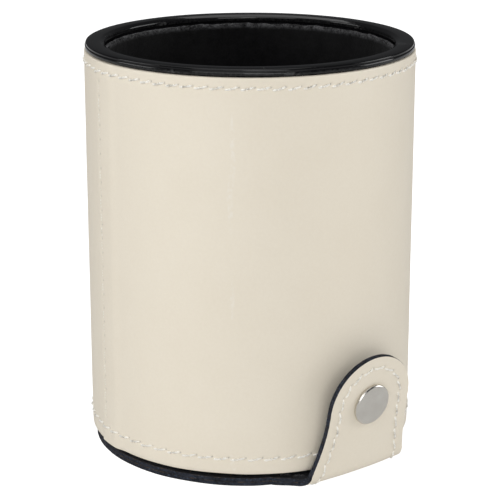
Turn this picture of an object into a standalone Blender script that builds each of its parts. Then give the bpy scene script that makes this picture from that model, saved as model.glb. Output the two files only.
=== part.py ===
"""A leatherette pen cup with a black moulded liner, and under its floor a small compartment that a
hinged leather flap shuts. The flap folds up at the front into a tab, which a press snap holds.

The origin is the centre of the flap's underside, +Z is up, and the tab is at the front, towards -Y.
"""
import math

import bmesh
import bpy
from mathutils import Matrix, Vector

MM = 0.001
GAP = 0.3 * MM
STEPS = 60  # facets round the cup

# The whole cup
CUP_RADIUS = 40.0 * MM
CUP_HEIGHT = 100.0 * MM

# Moulded liner
SHELL_RADIUS = 37.6 * MM
SHELL_BORE = 35.8 * MM
RIM_RADIUS = 39.8 * MM
RIM_THICKNESS = 1.6 * MM
RIM_ROUND = 0.45 * MM
LIP_BORE = 35.1 * MM
SHELL_FOOT = 2.5 * MM
PARTITION_UNDERSIDE = 25.0 * MM
PARTITION_THICKNESS = 2.0 * MM

# Felt lining
FELT_THICKNESS = 1.2 * MM
FELT_TOP = CUP_HEIGHT - RIM_THICKNESS - GAP

# Leather wrap and the ply behind it
WRAP_THICKNESS = 1.1 * MM
WRAP_BOTTOM = 3.3 * MM
WRAP_TOP = CUP_HEIGHT - RIM_THICKNESS - GAP
WRAP_ROUND = 0.35 * MM
BACKING_THICKNESS = 0.7 * MM
TOP_HEM = 95.75 * MM
BOTTOM_HEM = 7.3 * MM
THREAD_RADIUS = 0.28 * MM
SEAM_AZIMUTH = math.radians(-103.3)  # from the front, turning towards +X
SEAM_ROW_OFFSET = 2.2 * MM

# Base flap: an outer leather ply and an inner ply
FLAP_RADIUS = 37.4 * MM
COVER_PLY = 1.05 * MM
LINING_PLY = 0.85 * MM
FLAP_THICKNESS = COVER_PLY + GAP + LINING_PLY
STITCH_INSET = 2.9 * MM
FLAP_PIVOT = Vector((0.0, 38.2 * MM, FLAP_THICKNESS / 2))
TONGUE_HALF_WIDTH = 12.5 * MM
TONGUE_BOTTOM = 1.5 * MM
TONGUE_TOP = 19.0 * MM

# Tab: s runs across it, u up it from its fold, w out of its face
TAB_PIVOT = Vector((0.0, -40.85 * MM, FLAP_THICKNESS / 2))
TAB_LEAN = math.radians(10.55)
TAB_ROOT = 1.5 * MM
TAB_HEAD_RADIUS = 12.3 * MM
TAB_HEAD_CENTRE = 18.75 * MM
TAB_FLARE = 3.0 * MM
FOLD_HALF_WIDTH = 15.3 * MM

# Press snap
CAP_RADIUS = 5.1 * MM
CAP_THICKNESS = 1.0 * MM
SOCKET_RADIUS = 4.6 * MM
SOCKET_BORE = 2.3 * MM
SOCKET_DEPTH = 1.2 * MM
STUD_HEIGHT = 20.0 * MM
STUD_FLANGE_RADIUS = 3.4 * MM
STUD_HEAD_RADIUS = 1.75 * MM
STUD_TIP = 41.35 * MM
POST_RADIUS = 1.5 * MM
POST_FLANGE_RADIUS = 3.0 * MM
SNAP_HOLE_RADIUS = POST_RADIUS + GAP


def clear_scene():
    for obj in list(bpy.data.objects):
        bpy.data.objects.remove(obj, do_unlink=True)


def make_collection(name, helper=False):
    collection = bpy.data.collections.new(name)
    bpy.context.scene.collection.children.link(collection)
    collection.hide_render = helper
    return collection


def make_material(name, colour, roughness, metallic=0.0):
    material = bpy.data.materials.new(name)
    material.use_nodes = True
    shader = material.node_tree.nodes["Principled BSDF"]
    shader.inputs["Base Color"].default_value = (*colour, 1.0)
    shader.inputs["Roughness"].default_value = roughness
    shader.inputs["Metallic"].default_value = metallic
    material.diffuse_color = (*colour, 1.0)
    return material


def add_part(name, mesh, material, parent=None, place=(0.0, 0.0, 0.0), turn=(0.0, 0.0, 0.0)):
    """Adds a visible piece to the cup's collection."""
    obj = bpy.data.objects.new(name, mesh)
    bpy.data.collections["pen_cup"].objects.link(obj)
    obj.parent = parent
    obj.location = place
    obj.rotation_euler = turn
    mesh.materials.clear()
    mesh.materials.append(material)
    return obj


def add_cutter(name, mesh, parent=None, place=(0.0, 0.0, 0.0), turn=(0.0, 0.0, 0.0)):
    obj = bpy.data.objects.new(name, mesh)
    bpy.data.collections["cutters"].objects.link(obj)
    obj.parent = parent
    obj.location = place
    obj.rotation_euler = turn
    obj.hide_render = True
    obj.display_type = "WIRE"
    return obj


def smooth(mesh, angle=35.0):
    mesh.shade_smooth()
    mesh.set_sharp_from_angle(angle=math.radians(angle))
    return mesh


def arc(centre, radius, start, end, count):
    """Points of an arc in the plane of a turned profile, angles in degrees from outward to up."""
    points = []
    for step in range(count + 1):
        angle = math.radians(start + (end - start) * step / count)
        points.append((centre[0] + radius * math.cos(angle), centre[1] + radius * math.sin(angle)))
    return points


def turned_mesh(name, profile, ring=False):
    """An open or closed profile of (radius, height) points, for a Screw modifier to turn."""
    mesh = bpy.data.meshes.new(name)
    edges = [(i, i + 1) for i in range(len(profile) - 1)]
    if ring:
        edges.append((len(profile) - 1, 0))
    mesh.from_pydata([(r, 0.0, z) for r, z in profile], edges, [])
    return mesh


def add_turning(obj, steps=STEPS):
    screw = obj.modifiers.new("turning", "SCREW")
    screw.steps = screw.render_steps = steps
    screw.use_merge_vertices = True
    screw.merge_threshold = 0.00001
    screw.use_smooth_shade = True
    return obj


def cylinder_mesh(name, radius, low, high, segments):
    """A cylinder along Z between two heights."""
    form = bmesh.new()
    bmesh.ops.create_cone(
        form, cap_ends=True, segments=segments, radius1=radius, radius2=radius, depth=high - low
    )
    bmesh.ops.translate(form, verts=form.verts, vec=(0.0, 0.0, (low + high) / 2))
    return finished_mesh(name, form)


def box_mesh(name, low, high):
    form = bmesh.new()
    bmesh.ops.create_cube(form, size=1.0)
    bmesh.ops.scale(form, verts=form.verts, vec=[b - a for a, b in zip(low, high)])
    bmesh.ops.translate(form, verts=form.verts, vec=[(a + b) / 2 for a, b in zip(low, high)])
    return finished_mesh(name, form)


def finished_mesh(name, form):
    mesh = bpy.data.meshes.new(name)
    form.to_mesh(mesh)
    form.free()
    return mesh


def mesh_from_curve(name, curve):
    """The closed mesh of a curve, with its loose caps welded on."""
    source = bpy.data.objects.new(name, curve)
    bpy.context.scene.collection.objects.link(source)
    graph = bpy.context.evaluated_depsgraph_get()
    mesh = bpy.data.meshes.new_from_object(source.evaluated_get(graph))
    bpy.data.objects.remove(source, do_unlink=True)
    form = bmesh.new()
    form.from_mesh(mesh)
    bmesh.ops.remove_doubles(form, verts=form.verts, dist=0.000001)
    form.to_mesh(mesh)
    form.free()
    mesh.name = name
    return mesh


def plate_mesh(name, outline, low, high):
    """A flat outline in XY made solid between two heights."""
    curve = bpy.data.curves.new(name, "CURVE")
    curve.dimensions = "2D"
    curve.fill_mode = "BOTH"
    curve.extrude = (high - low) / 2
    spline = curve.splines.new("POLY")
    spline.points.add(len(outline) - 1)
    for point, (x, y) in zip(spline.points, outline):
        point.co = (x, y, 0.0, 1.0)
    spline.use_cyclic_u = True
    mesh = mesh_from_curve(name, curve)
    mesh.transform(Matrix.Translation((0.0, 0.0, (low + high) / 2)))
    return mesh


def strand_mesh(name, points, radius):
    """A thread laid along points, as a tube with closed ends."""
    curve = bpy.data.curves.new(name, "CURVE")
    curve.dimensions = "3D"
    curve.bevel_depth = radius
    curve.bevel_resolution = 2
    curve.use_fill_caps = True
    spline = curve.splines.new("POLY")
    spline.points.add(len(points) - 1)
    for point, place in zip(spline.points, points):
        point.co = (*place, 1.0)
    return mesh_from_curve(name, curve)


def cut(obj, cutter, operation="DIFFERENCE"):
    boolean = obj.modifiers.new(cutter.name, "BOOLEAN")
    boolean.operation = operation
    boolean.solver = "EXACT"
    boolean.object = cutter


def add_pivot(name, place, turn=(0.0, 0.0, 0.0), parent=None):
    empty = bpy.data.objects.new(name, None)
    bpy.data.collections["pen_cup"].objects.link(empty)
    empty.empty_display_size = 0.01
    empty.parent = parent
    empty.location = place
    empty.rotation_euler = turn
    return empty


def add_snap_hole():
    """The hole through the cup's wall that the snap's post goes through."""
    return add_cutter(
        "snap_hole",
        cylinder_mesh("snap_hole", SNAP_HOLE_RADIUS, SHELL_BORE - 6 * MM, CUP_RADIUS + 4 * MM, 20),
        place=(0.0, 0.0, STUD_HEIGHT),
        turn=(math.radians(90.0), 0.0, 0.0),
    )


def add_liner(material, snap_hole):
    """The moulded cup: rim flange and lip, wall, partition, and a skirt round the compartment."""
    top = CUP_HEIGHT - RIM_ROUND
    partition_top = PARTITION_UNDERSIDE + PARTITION_THICKNESS
    lip_underside = CUP_HEIGHT - RIM_THICKNESS
    profile = [(0.0, partition_top), (SHELL_BORE, partition_top)]
    profile += [(SHELL_BORE, lip_underside), (LIP_BORE, lip_underside)]
    profile += arc((LIP_BORE + RIM_ROUND, top), RIM_ROUND, 180.0, 90.0, 3)
    profile += arc((RIM_RADIUS - RIM_ROUND, top), RIM_ROUND, 90.0, 0.0, 3)
    profile += [
        (RIM_RADIUS, lip_underside),
        (SHELL_RADIUS, lip_underside),
        (SHELL_RADIUS, SHELL_FOOT),
        (SHELL_BORE, SHELL_FOOT),
        (SHELL_BORE, PARTITION_UNDERSIDE),
        (0.0, PARTITION_UNDERSIDE),
    ]
    liner = add_turning(add_part("inner_cup", turned_mesh("inner_cup", profile), material))
    cut(liner, snap_hole)


def add_felt(material):
    outer = SHELL_BORE - GAP
    inner = outer - FELT_THICKNESS
    floor = PARTITION_UNDERSIDE + PARTITION_THICKNESS + GAP
    half = FELT_THICKNESS / 2
    profile = arc((inner + half, FELT_TOP - half), half, 180.0, 0.0, 4)
    profile += [(outer, floor), (inner, floor)]
    add_turning(add_part("felt_wall", turned_mesh("felt_wall", profile, ring=True), material))
    disc = cylinder_mesh("felt_floor", inner - GAP, floor, floor + FELT_THICKNESS, STEPS)
    add_part("felt_floor", disc, material)


def hem_groove(height):
    """The profile of a turned groove that a row of stitches lies in."""
    depth = 2 * THREAD_RADIUS
    half = THREAD_RADIUS + GAP
    return [
        (CUP_RADIUS, height + half),
        (CUP_RADIUS - depth, height + half),
        (CUP_RADIUS - depth, height - half),
        (CUP_RADIUS, height - half),
    ]


def at_azimuth(radius, azimuth, height):
    return (radius * math.sin(azimuth), -radius * math.cos(azimuth), height)


def add_wrap(material, snap_hole):
    """The leather wrap: rounded edges, two hem grooves, and the lapped seam down one side."""
    inner = CUP_RADIUS - WRAP_THICKNESS
    shoulder = CUP_RADIUS - WRAP_ROUND
    profile = [(inner, WRAP_TOP)]
    profile += arc((shoulder, WRAP_TOP - WRAP_ROUND), WRAP_ROUND, 90.0, 0.0, 2)
    profile += hem_groove(TOP_HEM) + hem_groove(BOTTOM_HEM)
    profile += arc((shoulder, WRAP_BOTTOM + WRAP_ROUND), WRAP_ROUND, 0.0, -90.0, 2)
    profile += [(inner, WRAP_BOTTOM)]
    wrap = add_turning(
        add_part("wrap_cover", turned_mesh("wrap_cover", profile, ring=True), material)
    )
    cut(wrap, snap_hole)
    depth = 2 * THREAD_RADIUS
    row_half = THREAD_RADIUS + GAP
    lap_half = 0.15 * MM
    outside = CUP_RADIUS + 2 * MM
    row = box_mesh(
        "seam_row_groove",
        (CUP_RADIUS - depth, SEAM_ROW_OFFSET - row_half, BOTTOM_HEM + 2 * MM),
        (outside, SEAM_ROW_OFFSET + row_half, TOP_HEM - 2 * MM),
    )
    lap = box_mesh(
        "lap_edge",
        (CUP_RADIUS - 0.4 * MM, -lap_half, WRAP_BOTTOM - 1 * MM),
        (outside, lap_half, WRAP_TOP + 0.15 * MM),
    )
    turn = (0.0, 0.0, SEAM_AZIMUTH - math.radians(90.0))
    cut(wrap, add_cutter("seam_row_groove", row, turn=turn))
    cut(wrap, add_cutter("lap_edge", lap, turn=turn))


def add_backing(material, snap_hole):
    """The ply behind the leather, notched at the back for the flap's tongue."""
    outer = CUP_RADIUS - WRAP_THICKNESS - GAP
    inner = outer - BACKING_THICKNESS
    top = WRAP_TOP - 0.4 * MM
    bottom = WRAP_BOTTOM + 0.4 * MM
    profile = [(inner, top), (outer, top), (outer, bottom), (inner, bottom)]
    backing = add_turning(
        add_part("wrap_backing", turned_mesh("wrap_backing", profile, ring=True), material)
    )
    cut(backing, snap_hole)
    notch = box_mesh(
        "tongue_notch",
        (-TONGUE_HALF_WIDTH - GAP, 20 * MM, 0.0),
        (TONGUE_HALF_WIDTH + GAP, 50 * MM, TONGUE_TOP + GAP),
    )
    cut(backing, add_cutter("tongue_notch", notch))


def add_tongue(material):
    """The strip at the back that joins the flap to the cup, between the shell and the wrap."""
    outer = CUP_RADIUS - WRAP_THICKNESS - GAP
    form = bmesh.new()
    bmesh.ops.create_grid(form, x_segments=8, y_segments=1, size=1.0)
    for vert in form.verts:
        angle = vert.co.x * TONGUE_HALF_WIDTH / outer
        height = TONGUE_BOTTOM + (vert.co.y + 1.0) / 2 * (TONGUE_TOP - TONGUE_BOTTOM)
        vert.co = (outer * math.sin(angle), outer * math.cos(angle), height)
    bmesh.ops.recalc_face_normals(form, faces=form.faces)
    for face in form.faces:
        if face.normal.y < 0.0:
            face.normal_flip()
    tongue = add_part("hinge_tongue", finished_mesh("hinge_tongue", form), material)
    shell = tongue.modifiers.new("thickness", "SOLIDIFY")
    shell.thickness = BACKING_THICKNESS
    shell.offset = -1.0


def add_hem_thread(name, height, material):
    """One row of stitching round the cup, as a band that lies in its groove."""
    inner = CUP_RADIUS - 2 * THREAD_RADIUS + GAP
    outer = CUP_RADIUS + 0.1 * MM
    profile = [
        (inner, height + THREAD_RADIUS),
        (outer, height + THREAD_RADIUS),
        (outer, height - THREAD_RADIUS),
        (inner, height - THREAD_RADIUS),
    ]
    add_turning(add_part(name, turned_mesh(name, profile, ring=True), material))


def add_seam_thread(material):
    band = box_mesh(
        "thread_side_seam",
        (
            CUP_RADIUS - 2 * THREAD_RADIUS + GAP,
            SEAM_ROW_OFFSET - THREAD_RADIUS,
            BOTTOM_HEM + 2 * MM + GAP,
        ),
        (CUP_RADIUS + 0.05 * MM, SEAM_ROW_OFFSET + THREAD_RADIUS, TOP_HEM - 2 * MM - GAP),
    )
    turn = (0.0, 0.0, SEAM_AZIMUTH - math.radians(90.0))
    add_part("thread_side_seam", band, material, turn=turn)


def flap_outline(front):
    """The base flap from below: a disc whose front runs out to the straight fold."""
    shoulder = math.radians(31.0)
    count = STEPS - 8
    points = []
    for step in range(count + 1):
        azimuth = shoulder + (2 * math.pi - 2 * shoulder) * step / count
        x, y, _ = at_azimuth(FLAP_RADIUS, azimuth, 0.0)
        points.append((x, y))
    points.append((-FOLD_HALF_WIDTH, -front))
    points.append((FOLD_HALF_WIDTH, -front))
    return points


def flap_stitch_line(depth):
    """The flap's row of stitches: round the disc and forward to the fold on both sides."""
    shoulder = math.radians(23.0)
    radius = FLAP_RADIUS - STITCH_INSET
    count = 44
    fold = -TAB_PIVOT.y - 1.6 * MM
    side = FOLD_HALF_WIDTH - STITCH_INSET
    points = [(side, -fold, depth)]
    for step in range(count + 1):
        azimuth = shoulder + (2 * math.pi - 2 * shoulder) * step / count
        points.append(at_azimuth(radius, azimuth, depth))
    points.append((-side, -fold, depth))
    return points


def add_flap(hinge, leather, lining, thread):
    """The base flap: two plies, a round bead along the front fold, and its stitching."""
    drop = Matrix.Translation(-hinge.location)
    cover_mesh = plate_mesh("flap_cover", flap_outline(-TAB_PIVOT.y), 0.0, COVER_PLY)
    cover_mesh.transform(drop)
    cover = add_part("flap_cover", cover_mesh, leather, parent=hinge)
    bead_mesh = cylinder_mesh(
        "fold_bead", FLAP_THICKNESS / 2 - 0.05 * MM, -FOLD_HALF_WIDTH, FOLD_HALF_WIDTH, 16
    )
    bead_mesh.transform(Matrix.Rotation(math.radians(90.0), 4, "Y"))
    bead_place = TAB_PIVOT - hinge.location
    bead = add_cutter("fold_bead", bead_mesh, parent=hinge, place=bead_place)
    cut(cover, bead, "UNION")
    depth = THREAD_RADIUS + 0.07 * MM
    groove = strand_mesh("flap_groove", flap_stitch_line(depth), THREAD_RADIUS + GAP)
    groove.transform(drop)
    cut(cover, add_cutter("flap_groove", groove, parent=hinge))
    strand = strand_mesh("thread_flap", flap_stitch_line(depth), THREAD_RADIUS)
    strand.transform(drop)
    add_part("thread_flap", smooth(strand), thread, parent=hinge)
    inner_mesh = plate_mesh(
        "flap_lining",
        flap_outline(-TAB_PIVOT.y - 1.6 * MM),
        COVER_PLY + GAP,
        FLAP_THICKNESS,
    )
    inner_mesh.transform(drop)
    add_part("flap_lining", inner_mesh, lining, parent=hinge)


def tab_half_width(height):
    """Half the tab's width below its round head, where the sides flare down to the fold."""
    share = (TAB_HEAD_CENTRE - height) / TAB_HEAD_CENTRE
    return TAB_HEAD_RADIUS + TAB_FLARE * share**2


def tab_outline(start, inset=0.0):
    """The tab's outline in (s, u), up one flared side, round its head and down the other."""
    side_count = 6
    head_count = 16
    side = []
    for step in range(side_count):
        height = start + (TAB_HEAD_CENTRE - start) * step / side_count
        side.append((tab_half_width(height) - inset, height))
    head = arc((0.0, TAB_HEAD_CENTRE), TAB_HEAD_RADIUS - inset, 0.0, 180.0, head_count)
    return side + head + [(-s, u) for s, u in reversed(side)]


def add_tab(hinge, leather, lining, thread):
    """The two plies of the tab and its stitching, in the hinge's own axes."""
    face = FLAP_THICKNESS / 2
    cover_mesh = plate_mesh("tab_cover", tab_outline(TAB_ROOT), face - COVER_PLY, face)
    cover = add_part("tab_cover", cover_mesh, leather, parent=hinge)
    lining_mesh = plate_mesh("tab_lining", tab_outline(TAB_ROOT), -face, -face + LINING_PLY)
    inner = add_part("tab_lining", lining_mesh, lining, parent=hinge)
    hole_mesh = cylinder_mesh("tab_hole", SNAP_HOLE_RADIUS, -4 * MM, 4 * MM, 20)
    hole = add_cutter("tab_hole", hole_mesh, parent=hinge, place=(0.0, TAB_HEAD_CENTRE, 0.0))
    cut(cover, hole)
    cut(inner, hole)
    depth = face - THREAD_RADIUS - 0.07 * MM
    line = [(s, u, depth) for s, u in tab_outline(3.2 * MM, STITCH_INSET)]
    groove = strand_mesh("tab_groove", line, THREAD_RADIUS + GAP)
    cut(cover, add_cutter("tab_groove", groove, parent=hinge))
    add_part("thread_tab", smooth(strand_mesh("thread_tab", line, THREAD_RADIUS)), thread, hinge)


def add_snap_cap(hinge, material):
    """The domed cap on the tab's face, with the post that goes through the leather."""
    seat = FLAP_THICKNESS / 2 + GAP
    crown = seat + CAP_THICKNESS
    edge = 0.35 * MM
    profile = [(0.0, crown), (CAP_RADIUS * 0.5, crown - 0.05 * MM)]
    profile += [(CAP_RADIUS * 0.8, crown - 0.17 * MM)]
    profile += arc((CAP_RADIUS - edge, crown - 2 * edge), edge, 70.0, -90.0, 5)
    profile += [
        (POST_RADIUS, seat),
        (POST_RADIUS, -FLAP_THICKNESS / 2),
        (0.0, -FLAP_THICKNESS / 2),
    ]
    cap = add_part(
        "snap_cap",
        turned_mesh("snap_cap", profile),
        material,
        parent=hinge,
        place=(0.0, TAB_HEAD_CENTRE, 0.0),
    )
    add_turning(cap, 32)


def add_snap_socket(hinge, material):
    """The spring socket under the tab, open towards the wall."""
    top = -FLAP_THICKNESS / 2 - GAP
    bottom = top - SOCKET_DEPTH
    web = 0.5 * MM
    profile = [
        (0.0, top),
        (SOCKET_RADIUS - 0.2 * MM, top),
        (SOCKET_RADIUS, top - 0.25 * MM),
        (SOCKET_RADIUS - 0.5 * MM, top - web),
        (SOCKET_BORE + 1.2 * MM, bottom + 0.2 * MM),
        (SOCKET_BORE + 0.9 * MM, bottom),
        (SOCKET_BORE, bottom),
        (SOCKET_BORE, top - web),
        (0.0, top - web),
    ]
    socket = add_part(
        "snap_socket",
        turned_mesh("snap_socket", profile),
        material,
        parent=hinge,
        place=(0.0, TAB_HEAD_CENTRE, 0.0),
    )
    add_turning(socket, 32)


def add_wall_snap(material):
    """The stud outside the wall and the post riveted through from the compartment."""
    base = CUP_RADIUS + GAP
    plate = base + 0.6 * MM
    neck = 0.45 * MM
    stud_profile = [
        (0.0, STUD_TIP),
        (STUD_HEAD_RADIUS - 0.25 * MM, STUD_TIP),
        (STUD_HEAD_RADIUS, STUD_TIP - 0.25 * MM),
        (STUD_HEAD_RADIUS - neck, plate + 0.1 * MM),
        (STUD_FLANGE_RADIUS - 0.2 * MM, plate),
        (STUD_FLANGE_RADIUS, plate - 0.2 * MM),
        (STUD_FLANGE_RADIUS, base),
        (0.0, base),
    ]
    inside = SHELL_BORE - 0.5 * MM
    post_profile = [
        (0.0, CUP_RADIUS - 0.1 * MM),
        (POST_RADIUS, CUP_RADIUS - 0.1 * MM),
        (POST_RADIUS, inside),
        (POST_FLANGE_RADIUS, inside),
        (POST_FLANGE_RADIUS, inside - 0.4 * MM),
        (POST_FLANGE_RADIUS - 0.3 * MM, inside - 0.6 * MM),
        (0.0, inside - 0.6 * MM),
    ]
    for name, profile in (("snap_stud", stud_profile), ("snap_post", post_profile)):
        piece = add_part(
            name,
            turned_mesh(name, profile),
            material,
            place=(0.0, 0.0, STUD_HEIGHT),
            turn=(math.radians(90.0), 0.0, 0.0),
        )
        add_turning(piece, 32)


def main():
    clear_scene()
    make_collection("pen_cup")
    make_collection("cutters", helper=True)
    plastic = make_material("black_plastic", (0.012, 0.012, 0.013), 0.28)
    felt = make_material("black_felt", (0.006, 0.006, 0.007), 0.95)
    leather = make_material("cream_leatherette", (0.76, 0.71, 0.62), 0.5)
    ply = make_material("black_ply", (0.02, 0.02, 0.023), 0.85)
    thread = make_material("cream_thread", (0.83, 0.79, 0.7), 0.6)
    nickel = make_material("satin_nickel", (0.62, 0.6, 0.56), 0.32, 1.0)

    snap_hole = add_snap_hole()
    add_liner(plastic, snap_hole)
    add_felt(felt)
    add_wrap(leather, snap_hole)
    add_backing(ply, snap_hole)
    add_tongue(ply)
    add_hem_thread("thread_top_hem", TOP_HEM, thread)
    add_hem_thread("thread_bottom_hem", BOTTOM_HEM, thread)
    add_seam_thread(thread)
    add_wall_snap(nickel)

    flap_hinge = add_pivot("flap_hinge", FLAP_PIVOT)
    add_flap(flap_hinge, leather, ply, thread)
    tab_turn = (math.radians(90.0) + TAB_LEAN, 0.0, 0.0)
    tab_hinge = add_pivot("tab_hinge", TAB_PIVOT - FLAP_PIVOT, tab_turn, flap_hinge)
    add_tab(tab_hinge, leather, ply, thread)
    add_snap_cap(tab_hinge, nickel)
    add_snap_socket(tab_hinge, nickel)


main()
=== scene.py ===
import math
import random

import bmesh
import bpy
from mathutils import Matrix, Vector, noise


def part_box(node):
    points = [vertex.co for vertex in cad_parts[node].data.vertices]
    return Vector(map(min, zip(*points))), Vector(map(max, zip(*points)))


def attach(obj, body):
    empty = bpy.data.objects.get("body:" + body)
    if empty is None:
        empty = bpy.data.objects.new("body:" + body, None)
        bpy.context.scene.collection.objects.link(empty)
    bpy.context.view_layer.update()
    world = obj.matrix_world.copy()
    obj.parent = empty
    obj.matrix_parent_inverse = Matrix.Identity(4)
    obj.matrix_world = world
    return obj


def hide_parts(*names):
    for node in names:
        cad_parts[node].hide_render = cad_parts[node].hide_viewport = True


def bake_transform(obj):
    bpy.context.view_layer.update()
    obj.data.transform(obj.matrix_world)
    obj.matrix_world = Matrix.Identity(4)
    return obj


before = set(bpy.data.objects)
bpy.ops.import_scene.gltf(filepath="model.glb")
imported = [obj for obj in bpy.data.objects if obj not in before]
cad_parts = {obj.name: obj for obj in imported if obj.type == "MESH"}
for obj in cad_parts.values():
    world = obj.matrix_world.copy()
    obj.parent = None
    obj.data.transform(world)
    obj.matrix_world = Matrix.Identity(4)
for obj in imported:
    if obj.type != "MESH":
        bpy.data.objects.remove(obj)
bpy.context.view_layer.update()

# Shapes are worked out in millimetres; finished() brings each piece to metres.
MM = 0.001
scene = bpy.context.scene


def node_box(name):
    """A solid's lowest and highest corners, in millimetres."""
    low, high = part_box(name)
    return low / MM, high / MM


def smoothstep(low, high, value):
    share = min(1.0, max(0.0, (value - low) / (high - low)))
    return share * share * (3.0 - 2.0 * share)


def wobble(x, y=0.0, z=0.0):
    """Smooth noise between about -1 and 1."""
    return noise.noise(Vector((x, y, z)))


# ---------------------------------------------------------------- sizes

cup_low, cup_high = node_box("inner_cup")
RIM_TOP = cup_high.z
RIM_RADIUS = cup_high.x
SHELL_RADIUS = 37.6
SHELL_BORE = 35.8
SHELL_FOOT = cup_low.z
LIP_BORE = 35.1
LIP_DEPTH = 1.6
PARTITION = (25.0, 27.0)

wrap_low, wrap_high = node_box("wrap_cover")
CUP_RADIUS = wrap_high.x
WRAP_BOTTOM = wrap_low.z
WRAP_TOP = wrap_high.z
WRAP_THICKNESS = 1.1
SEAM_AZIMUTH = math.radians(-103.3)
SEAM_ROW = 2.2  # from the lap's edge
LAP_RISE = 0.3
TOP_HEM = sum(corner.z for corner in node_box("thread_top_hem")) / 2
BOTTOM_HEM = sum(corner.z for corner in node_box("thread_bottom_hem")) / 2
TOP_STITCHES = 71
BOTTOM_STITCHES = 63
SEAM_PITCH = 3.5
THREAD_RADIUS = 0.34

felt_low, felt_high = node_box("felt_wall")
FELT_TOP = felt_high.z
FELT_OUTER = felt_high.x
FELT_INNER = FELT_OUTER - 1.2

FLAP_RADIUS = 39.0
FLAP_BACK = 37.7  # the disc is cut straight across at its hinge
FLAP_MIDDLE = 0.98  # height of the line between the flap's two plies
FLAP_HALF = 0.96  # thickness of each ply under the cup
TAB_HALF = 0.82  # and in the tab
TAB_INNER = 0.42  # the tab's inner ply is skived thin
FOLD_FRONT = 38.45  # where the flat flap starts to bend, from the cup's axis
FOLD_RADIUS = 2.8  # to the line between the plies
FOLD_TURN = math.radians(79.45)
FOLD_LENGTH = FOLD_RADIUS * FOLD_TURN
HEAD_RADIUS = 12.2
HEAD_CENTRE = FOLD_LENGTH + 16.53
FOOT_FLARE = 3.5
SHOULDER = math.radians(31.0)
SHOULDER_FRONT = FLAP_RADIUS * math.cos(SHOULDER)
SHOULDER_HALF = FLAP_RADIUS * math.sin(SHOULDER)
STITCH_INSET = 2.9
TAB_LEAN = math.radians(10.55)
TAB_PIVOT = Vector((0.0, -40.85, 1.1))
SNAP_HEIGHT = 18.75  # up the tab from its pivot
STUD_HEIGHT = 20.0


# ---------------------------------------------------------------- node helpers

def add_node(tree, kind, inputs=None, **settings):
    """A shader node with its settings, its input values and its incoming links."""
    made = tree.nodes.new("ShaderNode" + kind)
    for key, value in settings.items():
        setattr(made, key, value)
    for socket, value in (inputs or {}).items():
        if isinstance(value, bpy.types.NodeSocket):
            tree.links.new(value, made.inputs[socket])
        else:
            made.inputs[socket].default_value = value
    return made


def calc(tree, operation, first, second=0.0, third=0.0, clamp=False):
    made = add_node(
        tree, "Math", {0: first, 1: second, 2: third}, operation=operation, use_clamp=clamp
    )
    return made.outputs[0]


def spread(tree, value, from_low, from_high, to_low=0.0, to_high=1.0):
    """Maps a value from one range to another, clamped."""
    made = add_node(
        tree,
        "MapRange",
        {
            "Value": value,
            "From Min": from_low,
            "From Max": from_high,
            "To Min": to_low,
            "To Max": to_high,
        },
    )
    return made.outputs["Result"]


def blend_colour(tree, share, first, second, mode="MIX"):
    made = add_node(tree, "Mix", data_type="RGBA", blend_type=mode, clamp_factor=True)
    for socket, value in ((0, share), (6, first), (7, second)):
        if isinstance(value, bpy.types.NodeSocket):
            tree.links.new(value, made.inputs[socket])
        else:
            made.inputs[socket].default_value = value
    return made.outputs[2]


def noise_field(tree, vector, scale, detail=2.0, rough=0.5):
    made = add_node(
        tree,
        "TexNoise",
        {"Vector": vector, "Scale": scale, "Detail": detail, "Roughness": rough},
    )
    return made.outputs["Fac"]


def new_group(name, inputs, outputs):
    """An empty node group with named sockets; vectors in, numbers in and out."""
    group = bpy.data.node_groups.new(name, "ShaderNodeTree")
    for socket, value in inputs:
        kind = "NodeSocketVector" if value is None else "NodeSocketFloat"
        made = group.interface.new_socket(socket, in_out="INPUT", socket_type=kind)
        if value is not None:
            made.default_value = value
    for socket in outputs:
        group.interface.new_socket(socket, in_out="OUTPUT", socket_type="NodeSocketFloat")
    entry = group.nodes.new("NodeGroupInput")
    leave = group.nodes.new("NodeGroupOutput")
    return group, entry.outputs, leave.inputs


def use_group(tree, group, **values):
    made = tree.nodes.new("ShaderNodeGroup")
    made.node_tree = group
    for socket, value in values.items():
        socket = socket.replace("_", " ")
        if isinstance(value, bpy.types.NodeSocket):
            tree.links.new(value, made.inputs[socket])
        else:
            made.inputs[socket].default_value = value
    return made.outputs


def object_place(tree, scale=(1.0, 1.0, 1.0), turn=(0.0, 0.0, 0.0)):
    place = add_node(tree, "TexCoord").outputs["Object"]
    if scale == (1.0, 1.0, 1.0) and turn == (0.0, 0.0, 0.0):
        return place
    return add_node(
        tree, "Mapping", {"Vector": place, "Scale": scale, "Rotation": turn}
    ).outputs["Vector"]


def new_material(name):
    material = bpy.data.materials.new(name)
    material.use_nodes = True
    tree = material.node_tree
    return material, tree, tree.nodes["Principled BSDF"].inputs


def wire(tree, value, socket):
    tree.links.new(value, socket)


def bump(tree, height, distance, strength=1.0):
    return add_node(
        tree, "Bump", {"Height": height, "Distance": distance, "Strength": strength}
    ).outputs["Normal"]


# ---------------------------------------------------------------- shared effects

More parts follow.
